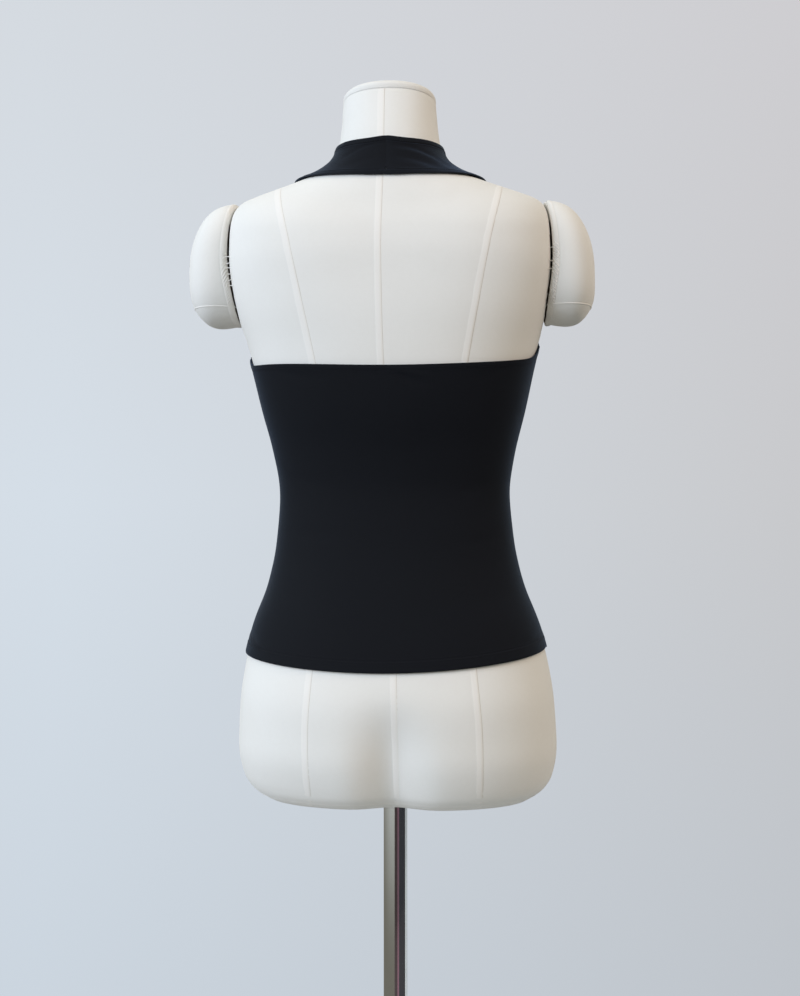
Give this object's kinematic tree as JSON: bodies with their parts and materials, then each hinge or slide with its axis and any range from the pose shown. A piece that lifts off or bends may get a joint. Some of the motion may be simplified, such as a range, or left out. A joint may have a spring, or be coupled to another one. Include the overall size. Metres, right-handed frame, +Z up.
{
  "type": "halter neck top on a dress form",
  "caption": "Close-fitting jersey halter neck top with a straight back and straps round the neck, on a limbless cloth-covered dress form with a chrome pole and round base.",
  "frame": {"origin": "centre of the base's underside on the floor, on the pole's axis", "axes": "+Z up along the pole, +X to the form's left, the front of the top faces -Y"},
  "size_m": [0.4294, 0.38, 1.4102],
  "materials": {
    "jersey": "matt black jersey knit with a faint blue sheen",
    "canvas": "off-white cotton canvas cover, plain weave",
    "chrome": "polished"
  },
  "bodies": {
    "root": {"front": "jersey", "back": "jersey", "form_body": "canvas", "neck_cap": "canvas", "arm_cap_left": "canvas", "arm_cap_right": "canvas", "pole": "chrome", "base": "chrome"}
  },
  "joints": []
}
